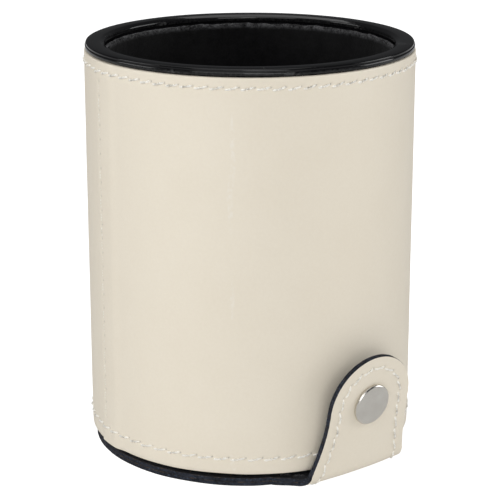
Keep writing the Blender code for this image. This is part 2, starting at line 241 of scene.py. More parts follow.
def make_grain_group():
    """Fine leather grain: closed pores, soft creases and a slow mottle."""
    group, entry, leave = new_group(
        "leather_grain", [("Vector", None), ("Fineness", 1700.0)], ["Height", "Mottle"]
    )
    pore_size = add_node(
        group,
        "TexVoronoi",
        {"Vector": entry["Vector"], "Scale": entry["Fineness"], "Smoothness": 0.8},
        feature="SMOOTH_F1",
    ).outputs["Distance"]
    crease = noise_field(
        group, entry["Vector"], calc(group, "MULTIPLY", entry["Fineness"], 0.35), 3.0, 0.6
    )
    height = calc(group, "MULTIPLY_ADD", pore_size, 0.6, calc(group, "MULTIPLY", crease, 0.7))
    wire(group, height, leave["Height"])
    slow = noise_field(
        group, entry["Vector"], calc(group, "MULTIPLY", entry["Fineness"], 0.03), 3.0, 0.55
    )
    fine = noise_field(group, entry["Vector"], entry["Fineness"], 1.0)
    mottle = calc(group, "MULTIPLY_ADD", fine, 0.35, calc(group, "MULTIPLY", slow, 0.65))
    wire(group, mottle, leave["Mottle"])
    return group


def make_speck_group():
    """Scattered specks: lint on felt, dust on plastic, marks on leather."""
    group, entry, leave = new_group(
        "specks", [("Vector", None), ("Scale", 300.0), ("Size", 0.12), ("Share", 0.2)], ["Mask"]
    )
    warp = add_node(
        group, "TexNoise", {"Vector": entry["Vector"], "Scale": entry["Scale"], "Detail": 2.0}
    ).outputs["Color"]
    bent = add_node(
        group, "VectorMath", {0: warp, 1: (0.0012, 0.0012, 0.0012)}, operation="MULTIPLY"
    ).outputs[0]
    place = add_node(
        group, "VectorMath", {0: entry["Vector"], 1: bent}, operation="ADD"
    ).outputs[0]
    cells = add_node(group, "TexVoronoi", {"Vector": place, "Scale": entry["Scale"]})
    chosen = calc(group, "LESS_THAN", cells.outputs["Color"], entry["Share"])
    dot = calc(group, "SUBTRACT", entry["Size"], cells.outputs["Distance"])
    soft = calc(group, "MULTIPLY", dot, 14.0, clamp=True)
    wire(group, calc(group, "MULTIPLY", soft, chosen), leave["Mask"])
    return group


def make_fibre_group():
    """Short matted fibres, for felt, raw ply edges and thread."""
    group, entry, leave = new_group(
        "fibres", [("Vector", None), ("Fineness", 2500.0)], ["Height", "Tone"]
    )
    warp = add_node(
        group,
        "TexNoise",
        {"Vector": entry["Vector"], "Scale": calc(group, "MULTIPLY", entry["Fineness"], 0.2)},
    ).outputs["Color"]
    bent = add_node(
        group, "VectorMath", {0: warp, 1: (0.002, 0.002, 0.002)}, operation="MULTIPLY"
    ).outputs[0]
    place = add_node(
        group, "VectorMath", {0: entry["Vector"], 1: bent}, operation="ADD"
    ).outputs[0]
    strands = noise_field(group, place, entry["Fineness"], 3.0, 0.7)
    tufts = noise_field(
        group, entry["Vector"], calc(group, "MULTIPLY", entry["Fineness"], 0.25), 2.0, 0.6
    )
    height = calc(group, "MULTIPLY_ADD", strands, 0.6, calc(group, "MULTIPLY", tufts, 0.4))
    wire(group, height, leave["Height"])
    wire(group, spread(group, height, 0.38, 0.66), leave["Tone"])
    return group


def make_wear_group():
    """Rubbed edges: strong on sharp outer corners, broken up by noise."""
    group, entry, leave = new_group(
        "worn_edges", [("Vector", None), ("Start", 0.52), ("Break Up", 900.0)], ["Mask"]
    )
    corner = add_node(group, "NewGeometry").outputs["Pointiness"]
    past = calc(group, "SUBTRACT", corner, entry["Start"])
    edge = calc(group, "MULTIPLY", past, 14.0, clamp=True)
    patchy = spread(group, noise_field(group, entry["Vector"], entry["Break Up"], 3.0), 0.4, 0.62)
    wire(group, calc(group, "MULTIPLY", edge, patchy), leave["Mask"])
    return group


grain = make_grain_group()
specks = make_speck_group()
fibres = make_fibre_group()
worn_edges = make_wear_group()


# ---------------------------------------------------------------- finishes

def make_leatherette():
    material, tree, shader = new_material("cream_leatherette")
    place = object_place(tree)
    skin = use_group(tree, grain, Vector=place, Fineness=1500.0)
    colour = blend_colour(
        tree, spread(tree, skin["Mottle"], 0.3, 0.7), (0.798, 0.726, 0.601, 1), (0.829, 0.762, 0.64, 1)
    )
    rubbed = use_group(tree, worn_edges, Vector=place, Start=0.53)["Mask"]
    colour = blend_colour(tree, calc(tree, "MULTIPLY", rubbed, 0.35), colour, (0.88, 0.84, 0.77, 1))
    # Painted shade: the leather is greyed towards (0.3, 0.3, 0.31) round each needle hole, standing for
    # the shade inside the hole.
    pressed = add_node(tree, "Attribute", attribute_name="needle").outputs["Fac"]
    colour = blend_colour(tree, pressed, colour, (0.3, 0.3, 0.31, 1))
    marks = use_group(tree, specks, Vector=place, Scale=90.0, Size=0.035, Share=0.12)["Mask"]
    colour = blend_colour(tree, calc(tree, "MULTIPLY", marks, 0.16), colour, (0.45, 0.4, 0.33, 1))
    wire(tree, colour, shader["Base Color"])
    wire(tree, spread(tree, skin["Height"], 0.3, 0.9, 0.47, 0.6), shader["Roughness"])
    shader["Specular IOR Level"].default_value = 0.4
    wire(tree, bump(tree, skin["Height"], 0.00006, 0.5), shader["Normal"])
    return material


def make_ply():
    material, tree, shader = new_material("black_ply")
    place = object_place(tree, scale=(1.0, 1.0, 2.2))
    hair = use_group(tree, fibres, Vector=place, Fineness=2600.0)
    colour = blend_colour(
        tree, hair["Tone"], (0.006, 0.006, 0.008, 1), (0.045, 0.044, 0.05, 1)
    )
    brown = use_group(tree, specks, Vector=place, Scale=900.0, Size=0.34, Share=0.16)["Mask"]
    colour = blend_colour(tree, calc(tree, "MULTIPLY", brown, 0.5), colour, (0.13, 0.075, 0.04, 1))
    blue = use_group(tree, specks, Vector=place, Scale=1300.0, Size=0.3, Share=0.1)["Mask"]
    colour = blend_colour(tree, calc(tree, "MULTIPLY", blue, 0.45), colour, (0.09, 0.12, 0.19, 1))
    wire(tree, colour, shader["Base Color"])
    wire(tree, spread(tree, hair["Height"], 0.3, 0.7, 0.72, 0.95), shader["Roughness"])
    shader["Specular IOR Level"].default_value = 0.25
    wire(tree, bump(tree, hair["Height"], 0.00018, 0.8), shader["Normal"])
    return material


def make_ply_edge():
    """A cut edge: blue-black board between tan lines of glue and hide fibre."""
    material, tree, shader = new_material("black_ply_edge")
    place = object_place(tree)
    hair = use_group(tree, fibres, Vector=place, Fineness=1700.0)
    flecks = use_group(tree, specks, Vector=place, Scale=1500.0, Size=0.42, Share=0.4)["Mask"]
    colour = blend_colour(tree, hair["Tone"], (0.006, 0.007, 0.01, 1), (0.034, 0.04, 0.056, 1))
    colour = blend_colour(tree, calc(tree, "MULTIPLY", flecks, 0.35), colour, (0.07, 0.1, 0.15, 1))
    depth = add_node(tree, "Attribute", attribute_name="ply_depth").outputs["Fac"]
    ripple = noise_field(tree, place, 900.0, 2.0)
    off = calc(tree, "ABSOLUTE", calc(tree, "MULTIPLY_ADD", depth, 2.0, -1.0))
    line = spread(tree, calc(tree, "MULTIPLY_ADD", ripple, 0.5, off), 1.0, 1.22)
    broken = spread(tree, noise_field(tree, place, 1500.0, 2.0), 0.42, 0.6)
    tan = calc(tree, "MULTIPLY", calc(tree, "MULTIPLY", line, broken), 0.55)
    colour = blend_colour(tree, tan, colour, (0.16, 0.105, 0.06, 1))
    wire(tree, colour, shader["Base Color"])
    shader["Roughness"].default_value = 0.85
    shader["Specular IOR Level"].default_value = 0.2
    wire(tree, bump(tree, hair["Height"], 0.00025, 0.9), shader["Normal"])
    return material


def make_thread(name, dark, light, sunken_shade):
    material, tree, shader = new_material(name)
    place = object_place(tree)
    hair = use_group(tree, fibres, Vector=place, Fineness=4200.0)
    colour = blend_colour(
        tree, hair["Tone"], dark, light
    )
    # Painted shade: the thread is darkened towards its third colour where it dives into a needle hole.
    sunk_shade = add_node(tree, "Attribute", attribute_name="needle").outputs["Fac"]
    colour = blend_colour(tree, sunk_shade, colour, sunken_shade)
    wire(tree, colour, shader["Base Color"])
    shader["Roughness"].default_value = 0.55
    shader["Sheen Weight"].default_value = 0.25
    shader["Sheen Roughness"].default_value = 0.4
    wire(tree, bump(tree, hair["Height"], 0.00008, 0.7), shader["Normal"])
    return material


def make_plastic():
    material, tree, shader = new_material("black_plastic")
    place = object_place(tree)
    rubbed = use_group(tree, worn_edges, Vector=place, Start=0.535, Break_Up=1500.0)["Mask"]
    dust = use_group(tree, specks, Vector=place, Scale=420.0, Size=0.11, Share=0.1)["Mask"]
    scuff_place = object_place(tree, scale=(1.0, 1.0, 7.0))
    scuff = spread(tree, noise_field(tree, scuff_place, 260.0, 5.0, 0.65), 0.56, 0.72)
    colour = blend_colour(tree, scuff, (0.0045, 0.0045, 0.005, 1), (0.012, 0.012, 0.013, 1))
    colour = blend_colour(tree, calc(tree, "MULTIPLY", rubbed, 0.35), colour, (0.12, 0.12, 0.12, 1))
    colour = blend_colour(tree, calc(tree, "MULTIPLY", dust, 0.6), colour, (0.3, 0.29, 0.27, 1))
    wire(tree, colour, shader["Base Color"])
    rough = calc(tree, "MULTIPLY_ADD", scuff, 0.22, 0.1)
    shader["Specular IOR Level"].default_value = 0.24
    wire(tree, calc(tree, "MULTIPLY_ADD", dust, 0.3, rough), shader["Roughness"])
    ripple = noise_field(tree, place, 520.0, 2.0)
    wire(tree, bump(tree, ripple, 0.00004, 0.35), shader["Normal"])
    return material


def make_felt():
    material, tree, shader = new_material("black_felt")
    place = object_place(tree)
    nap = use_group(tree, fibres, Vector=place, Fineness=1900.0)
    colour = blend_colour(
        tree, nap["Tone"], (0.001, 0.001, 0.0012, 1), (0.0052, 0.005, 0.0055, 1)
    )
    patch = spread(tree, noise_field(tree, place, 85.0, 3.0), 0.42, 0.66)
    worn = calc(tree, "MULTIPLY", patch, 0.35)
    colour = blend_colour(tree, worn, colour, (0.009, 0.0088, 0.009, 1))
    lint = use_group(tree, specks, Vector=place, Scale=330.0, Size=0.1, Share=0.11)["Mask"]
    colour = blend_colour(tree, calc(tree, "MULTIPLY", lint, 0.6), colour, (0.2, 0.19, 0.18, 1))
    # Painted sheen: the felt is lightened along its top edge and on its loose hairs, standing for light
    # caught by the fibres.
    top = add_node(tree, "Attribute", attribute_name="nap").outputs["Fac"]
    painted_fibre_sheen = calc(tree, "MULTIPLY", top, nap["Tone"])
    colour = blend_colour(tree, painted_fibre_sheen, colour, (0.13, 0.13, 0.135, 1))
    wire(tree, colour, shader["Base Color"])
    shader["Roughness"].default_value = 0.95
    shader["Specular IOR Level"].default_value = 0.15
    shader["Sheen Weight"].default_value = 0.04
    shader["Sheen Roughness"].default_value = 0.5
    wire(tree, bump(tree, nap["Height"], 0.0003, 0.9), shader["Normal"])
    return material


def make_nickel():
    material, tree, shader = new_material("satin_nickel")
    place = object_place(tree, scale=(1.0, 1.0, 9.0), turn=(0.0, 0.0, 0.6))
    brushing = noise_field(tree, place, 1500.0, 4.0, 0.6)
    smudge = spread(tree, noise_field(tree, object_place(tree), 240.0, 2.0), 0.35, 0.7)
    rubbed = use_group(tree, worn_edges, Vector=object_place(tree), Start=0.54)["Mask"]
    colour = blend_colour(tree, smudge, (0.62, 0.595, 0.55, 1), (0.68, 0.66, 0.62, 1))
    colour = blend_colour(tree, calc(tree, "MULTIPLY", rubbed, 0.7), colour, (0.5, 0.34, 0.15, 1))
    wire(tree, colour, shader["Base Color"])
    shader["Metallic"].default_value = 1.0
    wire(tree, calc(tree, "MULTIPLY_ADD", brushing, 0.14, 0.17), shader["Roughness"])
    wire(tree, bump(tree, brushing, 0.00001, 0.4), shader["Normal"])
    return material


leatherette = make_leatherette()
ply = make_ply()
ply_edge = make_ply_edge()
# The third colour of each thread is painted shade for the ends that dive into the needle holes.
thread = make_thread(
    "cream_thread", (0.97, 0.93, 0.84, 1), (1.0, 0.985, 0.92, 1), (0.66, 0.63, 0.58, 1)
)
bobbin_thread = make_thread(
    "black_thread", (0.008, 0.008, 0.01, 1), (0.03, 0.03, 0.034, 1), (0.005, 0.005, 0.006, 1)
)
plastic = make_plastic()
felt = make_felt()
nickel = make_nickel()


# ---------------------------------------------------------------- mesh helpers

def finished(name, form, materials, stands_for, body=None, sharp=40.0):
    """Turns a form in millimetres into a piece in metres that stands for its solids."""
    bmesh.ops.remove_doubles(form, verts=form.verts, dist=0.0005)
    bmesh.ops.scale(form, vec=(MM, MM, MM), verts=form.verts)
    mesh = bpy.data.meshes.new(name)
    form.to_mesh(mesh)
    form.free()
    mesh.shade_smooth()
    mesh.set_sharp_from_angle(angle=math.radians(sharp))
    for material in materials:
        mesh.materials.append(material)
    piece = bpy.data.objects.new(name, mesh)
    scene.collection.objects.link(piece)
    if stands_for:
        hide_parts(*stands_for)
    if body:
        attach(piece, body)
    return piece


def arc(centre, radius, start, end, count):
    """Points of an arc in (r, z), angles in degrees."""
    points = []
    for step in range(count + 1):
        angle = math.radians(start + (end - start) * step / count)
        points.append((centre[0] + radius * math.cos(angle), centre[1] + radius * math.sin(angle)))
    return points


def turned(profile, steps, closed=False):
    """A form turned round the z axis from a profile in (r, z)."""
    form = bmesh.new()
    verts = [form.verts.new((r, 0.0, z)) for r, z in profile]
    edges = [form.edges.new(pair) for pair in zip(verts, verts[1:])]
    if closed:
        edges.append(form.edges.new((verts[-1], verts[0])))
    bmesh.ops.spin(
        form,
        geom=verts + edges,
        cent=(0.0, 0.0, 0.0),
        axis=(0.0, 0.0, 1.0),
        angle=math.tau,
        steps=steps,
        use_merge=True,
    )
    bmesh.ops.remove_doubles(form, verts=form.verts, dist=0.0005)
    bmesh.ops.recalc_face_normals(form, faces=form.faces)
    return form


def on_cup(radius, azimuth, height):
    """A point at an azimuth from the front, turning towards +X."""
    return Vector((radius * math.sin(azimuth), -radius * math.cos(azimuth), height))


# ---------------------------------------------------------------- liner

def build_liner():
    """The moulded cup: stepped rim land, thin wall, partition and skirt."""
    top = RIM_TOP
    profile = [(0.0, PARTITION[1]), (SHELL_BORE - 0.5, PARTITION[1])]
    profile += arc((SHELL_BORE - 0.5, PARTITION[1] + 0.5), 0.5, -90.0, 0.0, 3)[1:]
    profile += [(SHELL_BORE + 0.05, 60.0), (SHELL_BORE + 0.1, top - LIP_DEPTH - 0.1)]
    profile += [(LIP_BORE + 0.2, top - LIP_DEPTH), (LIP_BORE, top - LIP_DEPTH + 0.2)]
    profile += [(LIP_BORE, top - 0.62), (LIP_BORE + 0.06, top - 0.52), (LIP_BORE + 0.2, top - 0.44)]
    profile += [(LIP_BORE + 0.85, top - 0.1), (LIP_BORE + 1.0, top - 0.03), (LIP_BORE + 1.2, top)]
    profile += [(RIM_RADIUS - 0.75, top), (RIM_RADIUS - 0.62, top - 0.04)]
    profile += arc((RIM_RADIUS - 0.5, top - 0.35), 0.3, 100.0, 0.0, 5)
    profile += [(RIM_RADIUS - 0.2, top - 0.62), (RIM_RADIUS - 0.12, top - 0.68)]
    profile += [(RIM_RADIUS, top - 0.8), (RIM_RADIUS, top - 1.4), (RIM_RADIUS - 0.15, top - 1.6)]
    profile += [(SHELL_RADIUS + 0.2, top - 1.6), (SHELL_RADIUS, top - 1.8)]
    profile += [(SHELL_RADIUS, 60.0), (SHELL_RADIUS, SHELL_FOOT + 0.3)]
    profile += [(SHELL_RADIUS - 0.3, SHELL_FOOT)]
    profile += [(SHELL_BORE + 0.3, SHELL_FOOT), (SHELL_BORE, SHELL_FOOT + 0.3)]
    profile += [(SHELL_BORE, PARTITION[0] - 0.5)]
    profile += arc((SHELL_BORE - 0.5, PARTITION[0] - 0.5), 0.5, 0.0, 90.0, 3)[1:]
    profile += [(4.0, PARTITION[0]), (3.6, PARTITION[0] - 0.15), (1.2, PARTITION[0] - 0.2)]
    profile += [(1.0, PARTITION[0] - 0.7), (0.0, PARTITION[0] - 0.8)]
    form = turned(profile, 240)
    for vert in form.verts:
        if vert.co.z > top - 1.7:
            lift = 0.05 * wobble(vert.co.x * 0.05, vert.co.y * 0.05, 3.0)
            vert.co.z += lift
    finished("liner", form, [plastic], ["inner_cup"], "cup", sharp=50.0)


build_liner()


# ---------------------------------------------------------------- felt

def add_hairs(form, draw, place, out, count, length, spread_angle, width=0.05):
    """Loose hairs that stand up from a point, each a closed three-sided needle."""
    for _ in range(count):
        lean = Vector([draw.uniform(-1.0, 1.0) for _ in range(3)]) * spread_angle
        aim = (out + lean).normalized()
        size = length * draw.uniform(0.4, 1.3)
        turn = Vector((0.0, 0.0, 1.0)).rotation_difference(aim).to_matrix().to_4x4()
        move = Matrix.Translation(place + aim * size * 0.45)
        bmesh.ops.create_cone(
            form,
            cap_ends=True,
            cap_tris=True,
            segments=3,
            radius1=width,
            radius2=width * 0.25,
            depth=size,
            matrix=move @ turn,
        )


def ragged_top(azimuth):
    """How far the felt's cut top edge strays."""
    return 0.28 * wobble(azimuth * 9.0, 2.0) + 0.16 * wobble(azimuth * 41.0, 5.0) - 0.22


def build_felt():
    """The lining of the bore: a butt-jointed felt strip with a ragged, hairy top edge."""
    draw = random.Random(11)
    half = (FELT_OUTER - FELT_INNER) / 2
    floor = felt_low.z
    heights = [floor, 40.0, 52.0, 62.0, 70.0, 76.0, 81.0, 85.0]
    heights += [88.0, 90.5, 92.2, 93.6, 94.8, 95.8, 96.6, 97.2]
    profile = [(FELT_INNER, z) for z in heights]
    profile += arc((FELT_INNER + half, FELT_TOP - half), half, 180.0, 0.0, 6)
    profile += [(FELT_OUTER, 60.0), (FELT_OUTER, floor)]
    form = turned(profile, 300, closed=True)
    nap = form.verts.layers.float.new("nap")
    joint = math.radians(150.0)
    for vert in form.verts:
        radius = math.hypot(vert.co.x, vert.co.y)
        azimuth = math.atan2(vert.co.x, -vert.co.y)
        edge = smoothstep(FELT_TOP - 3.0, FELT_TOP, vert.co.z)
        # Painted sheen weight: near the top edge, where the felt is drawn lighter.
        vert[nap] = smoothstep(FELT_TOP - 1.6, FELT_TOP - 0.2, vert.co.z)
        if radius < FELT_OUTER - 0.2:
            away = (azimuth - joint) * radius
            groove = math.exp(-((away / 0.35) ** 2)) * 0.35
            ripple = 0.12 * wobble(vert.co.x * 0.35, vert.co.y * 0.35, vert.co.z * 0.12)
            ripple += 0.05 * wobble(vert.co.x * 1.7, vert.co.y * 1.7, vert.co.z * 0.9)
            shift = groove + ripple
            vert.co.x += vert.co.x / radius * shift
            vert.co.y += vert.co.y / radius * shift
        vert.co.z += edge * (ragged_top(azimuth) + 0.12 * wobble(azimuth * 120.0, 8.0))
    for step in range(1500):
        azimuth = math.tau * (step + draw.uniform(-0.5, 0.5)) / 1500
        radius = draw.uniform(FELT_INNER, FELT_INNER + 0.7)
        place = on_cup(radius, azimuth, FELT_TOP + ragged_top(azimuth) - 0.35)
        out = Vector((-math.sin(azimuth), math.cos(azimuth), 0.6))
        add_hairs(form, draw, place, out, 1, 0.55, 0.8, 0.045)
    for step in range(900):
        azimuth = draw.uniform(0.0, math.tau)
        height = FELT_TOP - 24.0 * draw.random() ** 1.4
        place = on_cup(FELT_INNER + 0.05, azimuth, height)
        out = Vector((-math.sin(azimuth), math.cos(azimuth), 0.3))
        add_hairs(form, draw, place, out, 1, 0.5, 0.7, 0.035)
    # Loose hairs get the full painted sheen weight, so they are drawn lighter.
    for vert in form.verts:
        if len(vert.link_faces) <= 3:
            vert[nap] = 1.0
    lining = finished("felt_lining", form, [felt], ["felt_wall"], "cup")

    low, high = node_box("felt_floor")
    profile = [(0.0, low.z), (high.x - 0.3, low.z), (high.x, low.z + 0.4)]
    profile += [(high.x - 0.1, high.z - 0.3), (high.x - 0.5, high.z)]
    shares = (0.92, 0.84, 0.75, 0.65, 0.54, 0.43, 0.3, 0.16)
    profile += [(high.x * share, high.z) for share in shares]
    profile += [(0.0, high.z)]
    form = turned(profile, 120)
    nap = form.verts.layers.float.new("nap")
    for vert in form.verts:
        if vert.co.z > high.z - 0.01:
            vert.co.z += 0.1 * wobble(vert.co.x * 0.3, vert.co.y * 0.3)
    for _ in range(400):
        azimuth = draw.uniform(0.0, math.tau)
        place = on_cup(high.x * math.sqrt(draw.random()) * 0.98, azimuth, high.z)
        add_hairs(form, draw, place, Vector((0.0, 0.0, 1.0)), 1, 0.5, 0.9, 0.035)
    disc = finished("felt_disc", form, [felt], ["felt_floor"], "cup")


build_felt()


# ---------------------------------------------------------------- stitches

HOLE_RISE = 0.2  # needle holes lie a little above the middle of their row


def stitch_dent(along, across, pitch):
    """How deep a row of stitches presses the leather, and how near a needle hole is."""
    step = (along / pitch + 0.5) % 1.0 - 0.5
    away = math.hypot(step * pitch, across - HOLE_RISE)
    hole = math.exp(-((away / 0.27) ** 2))
    groove = math.exp(-((across / 0.8) ** 2))
    return 0.03 * groove + 0.34 * hole, hole


def add_stitch(form, needle, place_at, draw, rise=0.1, slant=0.34, radius=THREAD_RADIUS):
    """One twisted stitch that dives into a needle hole at both ends.

    place_at(share) gives the point on the surface, the way up across the row and out.
    """
    made = bmesh.ops.create_uvsphere(form, u_segments=6, v_segments=10, radius=1.0)["verts"]
    twist = math.tau * draw.uniform(1.4, 1.8)
    start = draw.uniform(0.0, math.tau)
    shift = draw.uniform(-0.07, 0.07)
    slant *= draw.uniform(0.75, 1.25)
    rise += draw.uniform(-0.04, 0.04)
    for vert in made:
        share = 0.5 - 0.5 * math.copysign(abs(vert.co.z) ** 0.8, -vert.co.z)
        ring = math.hypot(vert.co.x, vert.co.y)
        girth = radius * ring**0.45
        angle = math.atan2(vert.co.y, vert.co.x)
        wide, deep = girth * 1.12 * math.cos(angle), girth * 0.8 * math.sin(angle)
        turn = start + twist * share
        side = wide * math.cos(turn) - deep * math.sin(turn)
        lift = wide * math.sin(turn) + deep * math.cos(turn)
        arch = math.sin(math.pi * share)
        lift += rise - 0.6 * (1.0 - arch**0.35)
        side += shift + slant * (1.75 * share**1.5 - 0.95)
        point, up, out = place_at(share)
        vert.co = point + up * side + out * lift
        # Painted shade weight: the thread's ends, where they dive into the holes, are drawn darker.
        vert[needle] = 0.3 * (1.0 - arch**0.5) ** 2


def build_hem(name, stands_for, height_at, count, seed):
    draw = random.Random(seed)
    form = bmesh.new()
    needle = form.verts.layers.float.new("needle")
    pitch = math.tau / count
    for step in range(count):
        begin = SEAM_AZIMUTH + pitch * step

        def place_at(share):
            azimuth = begin + pitch * (0.06 + 0.9 * share)
            out = on_cup(1.0, azimuth, 0.0)
            radius = CUP_RADIUS + lap_rise((azimuth - SEAM_AZIMUTH) * CUP_RADIUS)
            point = on_cup(radius, azimuth, height_at(azimuth))
            return point, Vector((0.0, 0.0, 1.0)), out

        add_stitch(form, needle, place_at, draw)
    finished(name, form, [thread], [stands_for], "cup")


# ---------------------------------------------------------------- leather wrap

def top_hem(azimuth):
    return TOP_HEM + 0.08 * math.sin(3.0 * azimuth)


def bottom_hem(azimuth):
    return BOTTOM_HEM + 0.08 * math.sin(2.0 * azimuth + 1.0)


def lap_rise(along):
    """How far the over layer of the lap stands out, at a distance past its edge."""
    along %= math.tau * CUP_RADIUS
    fade = 1.0 - smoothstep(6.5, 10.5, along)
    return LAP_RISE * fade * (0.55 + 0.45 * smoothstep(0.0, 0.5, along))


SEAM_LOW = BOTTOM_HEM + 3.0
SEAM_HIGH = TOP_HEM - 2.3
SEAM_COUNT = round((SEAM_HIGH - SEAM_LOW) / SEAM_PITCH)


def build_wrap():
    """The leather sheet round the cup, closed by the lap, with every needle hole pressed in."""
    hem = [-1.6, -1.2, -0.9, -0.62, -0.36, -0.12, 0.12, 0.36, 0.62, 0.9, 1.2, 1.6]
    section = [(2.9, -WRAP_THICKNESS, WRAP_BOTTOM), (3.5, -0.45, WRAP_BOTTOM)]
    section += [(3.7, -0.2, WRAP_BOTTOM + 0.05), (3.9, -0.06, WRAP_BOTTOM + 0.2)]
    heights = [WRAP_BOTTOM + 0.5, WRAP_BOTTOM + 1.1, WRAP_BOTTOM + 1.8]
    heights += [BOTTOM_HEM + step for step in (-2.0, *hem, 2.0, 2.5)]
    gap = (SEAM_HIGH - SEAM_LOW) / SEAM_COUNT
    heights += [SEAM_LOW + gap * (step + 0.5) for step in range(SEAM_COUNT)]
    heights += [TOP_HEM + step for step in (-1.9, *hem)]
    heights = sorted(heights) + [WRAP_TOP - 0.5]
    section += [(z, 0.0, z) for z in heights if z > 4.3]
    section += [(WRAP_TOP, -0.06, WRAP_TOP - 0.2), (WRAP_TOP + 0.2, -0.2, WRAP_TOP - 0.05)]
    section += [(WRAP_TOP + 0.4, -0.45, WRAP_TOP), (WRAP_TOP + 1.0, -WRAP_THICKNESS, WRAP_TOP)]
    section += [(WRAP_TOP + 2.0, -WRAP_THICKNESS, WRAP_BOTTOM)]
    columns = 840
    around = math.tau * CUP_RADIUS
    rows = len(section) - 1
    form = bmesh.new()
    bmesh.ops.create_grid(form, x_segments=columns, y_segments=rows, size=1.0)
    needle = form.verts.layers.float.new("needle")
    for vert in form.verts:
        along = (vert.co.x + 1.0) / 2 * around
        row = round((vert.co.y + 1.0) / 2 * rows)
        vert.co = (along, section[row][0], 0.0)
    dense = [
        edge
        for edge in form.edges
        if all(abs(v.co.x - SEAM_ROW) < 1.25 and SEAM_LOW - 2 < v.co.y < SEAM_HIGH + 1 for v in edge.verts)
        and abs(edge.verts[0].co.x - edge.verts[1].co.x) < 0.01
        and abs(edge.verts[0].co.y - edge.verts[1].co.y) > 1.0
    ]
    bmesh.ops.subdivide_edges(form, edges=dense, cuts=9, use_grid_fill=True)
    top_pitch, bottom_pitch = around / TOP_STITCHES, around / BOTTOM_STITCHES
    for vert in form.verts:
        along, course = vert.co.x, vert.co.y
        after = next((i for i, entry in enumerate(section) if entry[0] >= course - 1e-6), rows)
        before = max(0, after - 1)
        (c0, d0, z0), (c1, d1, z1) = section[before], section[after]
        share = 0.0 if c1 == c0 else min(1.0, max(0.0, (course - c0) / (c1 - c0)))
        depth, height = d0 + (d1 - d0) * share, z0 + (z1 - z0) * share
        azimuth = SEAM_AZIMUTH + along / CUP_RADIUS
        outside = smoothstep(-0.9, -0.1, depth)
        last = along > around - 0.01
        rise = 0.0 if last else lap_rise(along)
        dent, hole = 0.0, 0.0
        if outside > 0.5:
            for line, pitch in ((top_hem(azimuth), top_pitch), (bottom_hem(azimuth), bottom_pitch)):
                if abs(height - line) < 2.5:
                    pressed, near = stitch_dent(along, height - line, pitch)
                    dent, hole = dent + pressed, max(hole, near)
            if abs(along - SEAM_ROW) < 2.0 and SEAM_LOW - 1 < height < SEAM_HIGH + 0.3:
                pressed, near = stitch_dent(height - SEAM_LOW, along - SEAM_ROW, gap)
                dent, hole = dent + pressed * 0.8, max(hole, near * 0.8)
        swell = 0.05 * wobble(azimuth * 3.0, height * 0.04)
        swell += 0.025 * wobble(azimuth * 11.0, height * 0.16, 4.0)
        swell += 0.05 * math.exp(-(((along - around + 1.2) / 1.6) ** 2))
        radius = CUP_RADIUS + depth + outside * (rise + swell - dent)
        edge_low = 1.0 - smoothstep(WRAP_BOTTOM, WRAP_BOTTOM + 3.0, height)
        height += edge_low * (0.12 * wobble(azimuth * 4.0, 9.0) - 0.22 * (rise / LAP_RISE))
        # Painted shade weight: nearness to a needle hole, where the leather is drawn grey.
        vert[needle] = hole**2 * 0.75
        vert.co = on_cup(radius, azimuth, height)
    bmesh.ops.remove_doubles(form, verts=form.verts, dist=0.0005)
    rim = [edge for edge in form.edges if edge.is_boundary]
    bmesh.ops.holes_fill(form, edges=rim, sides=0)
    bmesh.ops.recalc_face_normals(form, faces=form.faces)
    wrap = finished("leather_wrap", form, [leatherette], ["wrap_cover"], "cup")


def build_side_seam():
    draw = random.Random(5)
    form = bmesh.new()
    needle = form.verts.layers.float.new("needle")
    gap = (SEAM_HIGH - SEAM_LOW) / SEAM_COUNT
    azimuth = SEAM_AZIMUTH + SEAM_ROW / CUP_RADIUS
    out = on_cup(1.0, azimuth, 0.0)
    side = Vector((-math.cos(azimuth), -math.sin(azimuth), 0.0))
    for step in range(SEAM_COUNT):
        low = SEAM_LOW + gap * step

        def place_at(share):
            height = low + gap * (0.04 + 0.92 * share)
            return on_cup(CUP_RADIUS + lap_rise(SEAM_ROW), azimuth, height), side, out

        add_stitch(form, needle, place_at, draw, rise=-0.13, slant=0.1, radius=0.24)
    finished("stitches_side", form, [thread], ["thread_side_seam"], "cup")


build_wrap()
build_hem("stitches_top", "thread_top_hem", top_hem, TOP_STITCHES, 3)
build_hem("stitches_bottom", "thread_bottom_hem", bottom_hem, BOTTOM_STITCHES, 4)
build_side_seam()


# ---------------------------------------------------------------- flap and tab

def ply_share(course):
    """Half the sheet's thickness at a place along it."""
    return FLAP_HALF + (TAB_HALF - FLAP_HALF) * smoothstep(-3.0, FOLD_LENGTH, course)


def flap_point(side, course, level):
    """A point of the folded sheet: across it, along it from the fold's start, and through it.

    Level 1 is the outer face, 0 is between the plies and -1 is the inner face.
    """
    out = level * ply_share(course)
    if level < 0.0:
        out *= 1.0 + (TAB_INNER / TAB_HALF - 1.0) * smoothstep(-2.0, FOLD_LENGTH + 2.0, course)
    if course < 0.0:
        front, height = FOLD_FRONT + course, FLAP_MIDDLE - out
    else:
        turn = min(course, FOLD_LENGTH) / FOLD_RADIUS
        reach = FOLD_RADIUS + out
        front = FOLD_FRONT + reach * math.sin(turn)
        height = FLAP_MIDDLE + FOLD_RADIUS - reach * math.cos(turn)
        straight = max(0.0, course - FOLD_LENGTH)
        front += straight * math.sin(TAB_LEAN)
        height += straight * math.cos(TAB_LEAN)
    front -= 0.004 * side * side * smoothstep(-8.0, 0.0, course) * (1.0 - smoothstep(3.0, 17.0, course))
    return Vector((side, -front, height))


